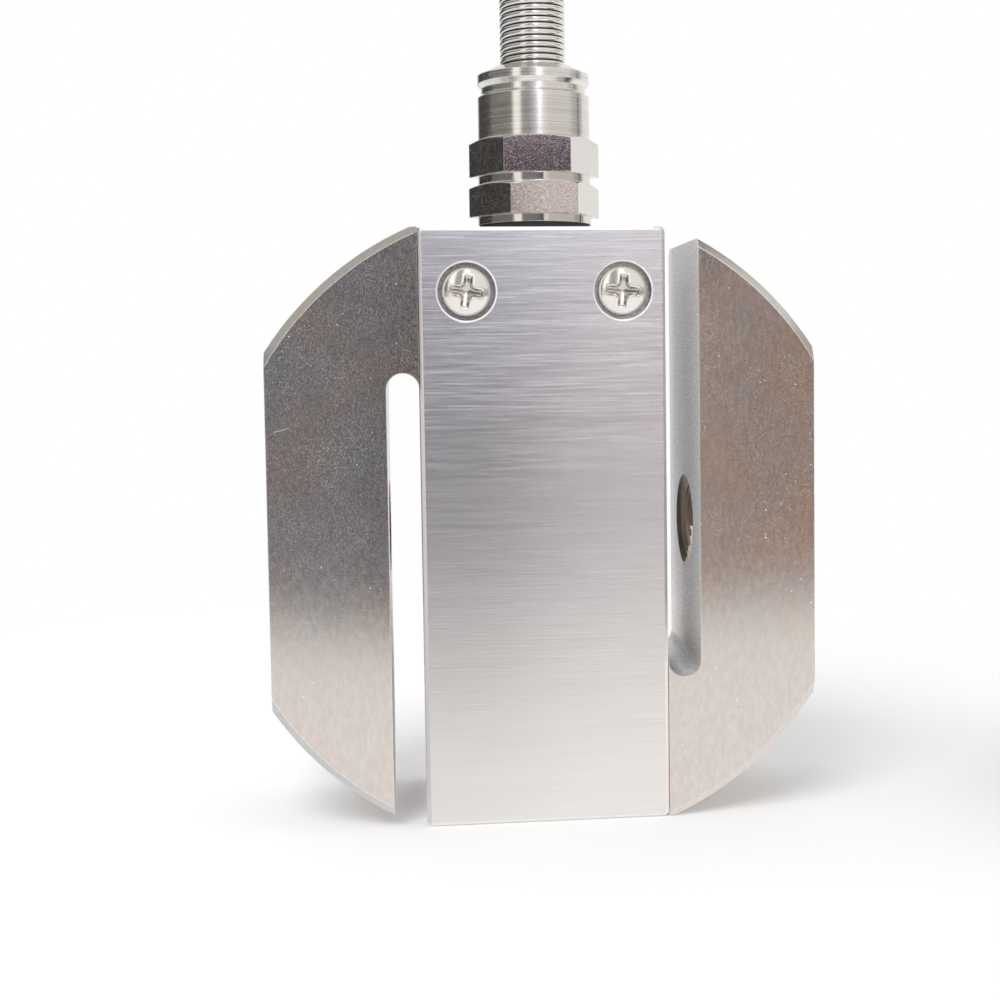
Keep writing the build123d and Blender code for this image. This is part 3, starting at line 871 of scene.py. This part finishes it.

# %% Colour of the load holes, with painted shade that darkens them towards their top and bottom
turned_marks = use(tree, grain, Stretch=(1900.0, 40.0, 40.0), Depth=0.00002)
ring_marks = spread(tree, turned_marks["Streaks"], 0.38, 0.62)
threaded = blend_colours(tree, ring_marks, (0.26, 0.22, 0.18), (0.85, 0.76, 0.62))
# Painted shade towards the top and bottom of the hole
threaded = scaled(tree, threaded, spread(tree, size_of(tree, above_axis), 2.2 * MM, 5.2 * MM, 1.0, 0.4))
colour = blend_colours(tree, hole, colour, threaded)

# %% Pits painted bright as glints, and a scratch on the front
speckled = use(tree, specks, Cells=1500.0, Size=0.15, Share=0.18)["Mask"]
crowding = use(tree, tones, Scale=210.0, Low=0.0, High=1.0)["Tone"]
scratched = scratch(tree, place, (-34.4, 51.27), (-32.1, 51.87), 0.09)
scratched = times(tree, scratched, maths(tree, "LESS_THAN", face["Y"], -0.9), 0.5)
pits_and_glints = largest(tree, times(tree, speckled, front, crowding), scratched)
colour = blend_colours(tree, pits_and_glints, colour, (0.95, 0.92, 0.90))

# %% Painted highlights on the edges, painted light on the strip beside the cover, and the burr
edge_highlight = times(tree, grained["Rim"], rest_of(tree, hole), spread(tree, from_cover, 0.3 * MM, 0.6 * MM))
# Low down, the side beside the cover is painted pale, as light
lit_seat_side = times(tree, maths(tree, "LESS_THAN", from_cover, 0.1 * MM), edge_on)
lit_seat_side = times(tree, lit_seat_side, spread(tree, place["Z"], 30.0 * MM, 24.0 * MM))
burrs = add(tree, "ShaderNodeAttribute", attribute_name="burr").outputs["Fac"]
colour = blend_colours(tree, lit_seat_side, colour, (0.92, 0.87, 0.85))
colour = blend_colours(tree, times(tree, edge_highlight, 0.85), colour, (0.98, 0.94, 0.88))
colour = blend_colours(tree, burrs, colour, (1.0, 0.95, 0.84))

# %% Gloss of the machined steel
# Where light scatters instead of being mirrored, the steel counts as partly not metal
calm = spread(tree, place["Z"], 16.0 * MM, 36.0 * MM, 0.2, 1.0)
calm = times(tree, calm, spread(tree, crowding, 0.0, 1.0, 0.65, 1.15))
scattered = times(tree, spread(tree, grained["Streaks"], 0.46, 0.68, 0.0, 0.31), front, calm)
shares = ((pits_and_glints, 0.8), (wall, 0.45), (lighter_band, 0.7), (lit_seat_side, 0.85), (edge_highlight, 0.75), (burrs, 0.8))
not_metal = largest(tree, scattered, *(times(tree, mask, share) for mask, share in shares))
to_back = spread(tree, place["Y"], 0.0, 11.0 * MM, 0.46, 0.20)
matt_wall = maths(tree, "SUBTRACT", wall, times(tree, lighter_band, 0.7))
ground = spread(tree, grained["Broad"], 0.3, 0.7, 0.115, 0.135)
normals = {"Factor": wall, "A": grained["Normal"], "B": cast["Normal"]}
connect(
    tree,
    shader,
    Base_Color=colour,
    Metallic=rest_of(tree, not_metal),
    Roughness=largest(tree, ground, times(tree, matt_wall, to_back), times(tree, hole, 0.42)),
    Anisotropic=0.4,
    Normal=add(tree, "ShaderNodeMix", normals, data_type="VECTOR").outputs["Result"],
    Tangent=upright_tangent(tree),
)
print("machined steel of", len(tree.nodes), "nodes")

# %% [markdown]
# ## Brushed steel
# The covers are brushed across with a belt. Each hair line is a small trough, so the mirror image
# is drawn out upright: the bright table below and the soft box above both reach into the face.
# The left and right halves have their own painted shades up the cover, as light falls unevenly on them.

# %% Places on the covers
well_floor, well_edge = 10.6, 15.2

brushed_steel, tree, shader = new_material("brushed_steel")
place, face = place_and_face(tree)
sunk = maths(tree, "LESS_THAN", size_of(tree, place["Y"]), well_floor * MM)
inner = maths(tree, "LESS_THAN", size_of(tree, place["X"]), well_edge * MM)
well = times(tree, sunk, inner)
right_edge = spread(tree, place["X"], 14.0 * MM, 14.5 * MM)

# %% Colour of the brushed face and of the screws' wells, with a painted tint and painted shade
grained = use(tree, grain, Stretch=(150.0, 300.0, 6400.0), Depth=0.000004, Edge=0.0001)
slow = use(tree, tones, Scale=30.0, Low=0.97, High=1.02)["Tone"]
pitted = use(tree, grain, Stretch=(3000.0, 3000.0, 3000.0), Depth=0.00002)["Streaks"]
upper = spread(tree, place["Z"], 18.0 * MM, 40.0 * MM)
# Bluer above: a painted tint of the light the face mirrors
colour = blend_colours(tree, upper, (0.752, 0.745, 0.735), (0.745, 0.737, 0.76))
colour = scaled(tree, colour, times(tree, spread(tree, grained["Streaks"], 0.3, 0.7, 0.96, 1.03), slow))
# The wells are painted dark, as shade
dark = blend_colours(tree, spread(tree, pitted, 0.35, 0.65), (0.34, 0.33, 0.305), (0.56, 0.545, 0.51))
colour = blend_colours(tree, well, colour, dark)

# %% Painted light and shade, as (share of the height, shade) stops up each half of the cover
left_shade_stops = [
    (0.0, 1.0),
    (0.107, 1.0),
    (0.253, 0.95),
    (0.387, 0.92),
    (0.533, 0.90),
    (0.653, 0.90),
    (0.813, 1.04),
    (1.0, 1.05),
]
right_shade_stops = [(0.0, 1.04), (0.387, 1.04), (0.533, 1.03), (0.653, 1.10), (0.813, 1.14), (1.0, 1.07)]
shade_top = 75.0
up_the_cover = spread(tree, place["Z"], 0.0, shade_top * MM)
left_shade, right_shade = (
    ramp(tree, up_the_cover, [(share, (shade,) * 3) for share, shade in painted_stops])
    for painted_stops in (left_shade_stops, right_shade_stops)
)
# The two halves of the cover are painted lighter or darker, as light and shade
painted_light = blend_colours(tree, spread(tree, place["X"], -11.0 * MM, 3.0 * MM), left_shade, right_shade)
colour = add(tree, "ShaderNodeVectorMath", {0: colour, 1: painted_light}, operation="MULTIPLY").outputs[0]

# %% Broken edges of the covers, painted pale as highlights and darker as shade at the sides, and a scratch
slope = size_of(tree, face["Y"])
broken = times(tree, maths(tree, "LESS_THAN", slope, 0.9), maths(tree, "GREATER_THAN", slope, 0.4))
# The upper part of the right edge keeps its dark reflection, without the painted highlight
dim = times(tree, right_edge, spread(tree, place["Z"], 24.0 * MM, 30.0 * MM), 0.8)
broken = times(tree, broken, rest_of(tree, well), rest_of(tree, dim))
beside = times(tree, maths(tree, "GREATER_THAN", size_of(tree, face["X"]), 0.5), rest_of(tree, inner))
# Painted light: low on the right, the side bevel is pale
right_low = times(tree, right_edge, spread(tree, place["Z"], 28.0 * MM, 22.0 * MM), beside)
painted_bevel_light = blend_colours(tree, beside, (0.86, 0.85, 0.84), (0.60, 0.56, 0.575))
painted_bevel_light = blend_colours(tree, right_low, painted_bevel_light, (0.98, 0.94, 0.92))
colour = blend_colours(tree, broken, colour, painted_bevel_light)
scratched = scratch(tree, place, (5.6, 32.6), (15.1, 32.46), 0.07)
scratched = times(tree, scratched, maths(tree, "LESS_THAN", face["Y"], -0.9))
colour = blend_colours(tree, times(tree, scratched, 0.4), colour, (0.97, 0.94, 0.94))

# %% Gloss of the brushed steel
calm = spread(tree, place["Z"], 40.0 * MM, 58.0 * MM, 0.12, 0.36)
hairs = times(tree, spread(tree, grained["Streaks"], 0.42, 0.72), calm)
connect(
    tree,
    shader,
    Base_Color=colour,
    Metallic=rest_of(tree, largest(tree, hairs, times(tree, broken, 0.85), times(tree, scratched, 0.2))),
    Roughness=spread(tree, grained["Broad"], 0.3, 0.7, 0.205, 0.225),
    Anisotropic=0.47,
    Anisotropic_Rotation=0.25,
    Normal=grained["Normal"],
    Tangent=upright_tangent(tree),
)
print("brushed steel of", len(tree.nodes), "nodes")

# %% [markdown]
# ## Polished, plated and drawn metal
# The screws are polished, the gland is nickel plated over its turning marks, and the spring is
# bright drawn wire. They share one recipe: a metal with its own grain and roughness.

# %% Bright metals
def bright_metal(name, light, dark, roughness, stretch, depth, recess_shade, edge=0.0, scatter=0.0):
    """A polished, plated or drawn metal. Marked recesses get painted shade, marked rims a painted highlight.
    """
    material, tree, shader = new_material(name)
    grained = use(tree, grain, Stretch=stretch, Depth=depth, Edge=edge)
    recess = add(tree, "ShaderNodeAttribute", attribute_name="recess").outputs["Fac"]
    rim_highlight = add(tree, "ShaderNodeAttribute", attribute_name="painted_light").outputs["Fac"]
    colour = blend_colours(tree, grained["Broad"], dark, light)
    # Painted shade in the marked recess, and a painted highlight on the marked rim
    colour = blend_colours(tree, recess, colour, recess_shade)
    colour = blend_colours(tree, rim_highlight, colour, (0.93, 0.91, 0.88))
    scattered = spread(tree, grained["Streaks"], 0.50, 0.70, 0.0, scatter)
    scattered = largest(tree, scattered, times(tree, rim_highlight, 0.75))
    # Rounded edges take a painted highlight along their rims
    if edge:
        scattered = largest(tree, scattered, times(tree, grained["Rim"], 0.45))
        colour = blend_colours(tree, times(tree, grained["Rim"], 0.6), colour, (0.9, 0.88, 0.84))
    links = {
        "Base_Color": colour,
        "Metallic": rest_of(tree, scattered),
        "Roughness": spread(tree, grained["Streaks"], 0.3, 0.7, *roughness),
        "Normal": grained["Normal"],
    }
    connect(tree, shader, **links)
    return material, tree, shader, links


polished_steel, *_ = bright_metal(
    "polished_steel", (0.80, 0.79, 0.76), (0.70, 0.69, 0.66), (0.10, 0.16),
    stretch=(1500.0, 1500.0, 1500.0), depth=0.000004, recess_shade=(0.60, 0.575, 0.535), edge=0.00012,
)
spring_wire, *_ = bright_metal(
    "spring_wire", (0.80, 0.785, 0.765), (0.70, 0.68, 0.655), (0.13, 0.21),
    stretch=(900.0, 900.0, 3000.0), depth=0.000002, recess_shade=(0.16, 0.13, 0.12),
)
bare_braid, *_ = bright_metal(
    "bare_braid", (0.82, 0.81, 0.79), (0.6, 0.59, 0.57), (0.22, 0.36),
    stretch=(5000.0, 400.0, 5000.0), depth=0.00001, recess_shade=(0.5, 0.49, 0.47),
)
print("bright metals:", polished_steel.name, spring_wire.name, bare_braid.name)

# %% [markdown]
# ## Nickel plate
# The collar of the gland shows the rings that its lathe tool left. The faces of its hexagons are
# flat and glossier, and the two that face the front carry a speckled painted reflection, the upper one
# darker.
# The recipe above comes first, and its colour and metal are then changed by height.

# %% Nickel plate
hexagon_foot, groove_middle, groove_reach, collar_foot = 78.95, 83.75, 0.55, 89.1
edge_blur = 0.05

nickel_plate, tree, shader, base = bright_metal(
    "nickel_plate", (0.77, 0.75, 0.73), (0.69, 0.67, 0.645), (0.11, 0.17),
    stretch=(3000.0, 3000.0, 5600.0), depth=0.000002, recess_shade=(0.4, 0.38, 0.35),
    edge=0.00016, scatter=0.16,
)
place, face = place_and_face(tree)


def above(height, blur):
    """A mask that is 1 above this height in mm."""
    return spread(tree, place["Z"], (height - blur) * MM, (height + blur) * MM)


collar = above(collar_foot, 0.1)
from_groove = apart(tree, place["Z"], groove_middle * MM)
off_groove = spread(tree, from_groove, (groove_reach - edge_blur) * MM, (groove_reach + edge_blur) * MM)
# The hexagons' faces towards the front are painted dark as a reflection, the upper one darker
front_faces = maths(tree, "LESS_THAN", face["Y"], -0.8)
front_faces = times(tree, front_faces, rest_of(tree, collar), above(hexagon_foot, edge_blur), off_groove)
flecks = use(tree, grain, Stretch=(3200.0, 3200.0, 8000.0))["Streaks"]
sparkle = times(tree, spread(tree, flecks, 0.50, 0.66, 0.0, 0.42), front_faces)
painted_reflection = blend_colours(tree, above(groove_middle, 0.15), (0.57, 0.55, 0.54), (0.46, 0.38, 0.395))
painted_reflection = scaled(tree, painted_reflection, spread(tree, flecks, 0.36, 0.62, 0.74, 1.16))
turned = use(tree, grain, Stretch=(60.0, 60.0, 5200.0), Depth=0.000006)["Streaks"]
ringed = scaled(tree, base["Base_Color"], spread(tree, turned, 0.36, 0.64, 0.86, 1.06))
glossy = use(tree, grain, Stretch=(900.0, 900.0, 3200.0), Depth=0.0)["Streaks"]
flat_roughness = spread(tree, glossy, 0.3, 0.7, 0.03, 0.08)
turned_roughness = spread(tree, turned, 0.3, 0.7, 0.13, 0.23)
roughness = {"Factor": collar, "A": flat_roughness, "B": turned_roughness}
connect(
    tree,
    shader,
    Base_Color=blend_colours(tree, collar, blend_colours(tree, front_faces, base["Base_Color"], painted_reflection), ringed),
    Metallic=maths(tree, "SUBTRACT", base["Metallic"], sparkle, clamp=True),
    Roughness=add(tree, "ShaderNodeMix", roughness).outputs[0],
    Anisotropic=0.4,
    Anisotropic_Rotation=0.25,
    Tangent=upright_tangent(tree),
)
print("nickel plate of", len(tree.nodes), "nodes")

# %% [markdown]
# ## Rubber, plastic and film
# The cable's sheath, the cores and the seals are plain satin or matt plastics. Each has a base
# colour that drifts a little and a fine texture, so none is a single flat colour.

# %% Plain plastics
skin_scale, skin_depth, drift_of_tone = 900.0, 0.00001, 0.12


def plain_plastic(name, colour, roughness):
    """A moulded or extruded plastic with a fine skin and a slow drift of tone."""
    material, tree, shader = new_material(name)
    grained = use(tree, grain, Stretch=(skin_scale, skin_scale, skin_scale), Depth=skin_depth)
    slow = use(tree, tones, Scale=90.0, Low=1.0 - drift_of_tone, High=1.0 + drift_of_tone)
    connect(
        tree,
        shader,
        Base_Color=scaled(tree, colour, slow["Tone"]),
        Roughness=spread(tree, grained["Streaks"], 0.3, 0.7, roughness - 0.06, roughness + 0.06),
        Normal=grained["Normal"],
    )
    return material


plastics = {
    "seal_rubber": ((0.03, 0.03, 0.03), 0.6),
    "clamp_plastic": ((0.75, 0.74, 0.70), 0.5),
    "gauge_film": ((0.55, 0.36, 0.12), 0.35),
    "circuit_board": ((0.05, 0.22, 0.10), 0.35),
    "resistor_black": ((0.04, 0.04, 0.04), 0.5),
    "core_red": ((0.6, 0.03, 0.02), 0.4),
    "core_black": ((0.02, 0.02, 0.02), 0.4),
    "core_green": ((0.03, 0.30, 0.08), 0.4),
    "core_white": ((0.85, 0.85, 0.83), 0.4),
    "cable_sheath": ((0.035, 0.035, 0.038), 0.42),
    "shrunk_sleeve": ((0.02, 0.02, 0.02), 0.45),
}
finishes = {name: plain_plastic(name, *values) for name, values in plastics.items()}
finishes |= {
    "machined_steel": machined_steel,
    "brushed_steel": brushed_steel,
    "polished_steel": polished_steel,
    "nickel_plate": nickel_plate,
    "spring_wire": spring_wire,
    "bare_braid": bare_braid,
}
print(len(finishes), "finishes")

# %% Give each piece its finish
for row in frame["record"]["subparts"]:
    for slot in nodes[row["node"]].material_slots:
        slot.material = finishes[row["material_slot"]]
for piece, finish in (
    (lead_cable, "cable_sheath"),
    (wound_spring, "spring_wire"),
    (left_thread, "machined_steel"),
    (right_thread, "machined_steel"),
    (load_hole_burr, "machined_steel"),
    *((head, "polished_steel") for head in pan_heads),
):
    piece.data.materials.append(finishes[finish])

# %% [markdown]
# ## Floor finish
# The floor is white paper that keeps the cell's soft shadow close by. Further out the camera sees it
# glow plain white, so that it runs into the background without an edge.

# %% Floor finish
fade_start, fade_end = 0.06, 0.18
white_floor, tree, shader = new_material("white_floor")
paper = use(tree, tones, Scale=2.0, Low=0.955, High=0.965)["Tone"]
paper = add(tree, "ShaderNodeCombineColor", {0: paper, 1: paper, 2: paper}).outputs[0]
connect(tree, shader, Base_Color=paper, Roughness=0.9, Specular_IOR_Level=0.0)
spot = add(tree, "ShaderNodeNewGeometry").outputs["Position"]
away = add(tree, "ShaderNodeVectorMath", {0: spot}, operation="LENGTH").outputs["Value"]
from_camera = add(tree, "ShaderNodeLightPath").outputs["Is Camera Ray"]
far = times(tree, spread(tree, away, fade_start, fade_end), from_camera)
glow = add(tree, "ShaderNodeEmission", {"Color": (1, 1, 1, 1), "Strength": 1.0})
both = add(tree, "ShaderNodeMixShader", {0: far, 1: shader.outputs[0], 2: glow.outputs[0]})
tree.links.new(both.outputs[0], tree.nodes["Material Output"].inputs["Surface"])
floor_mesh.materials.append(white_floor)
print("floor fades from", fade_start, "to", fade_end, "m")
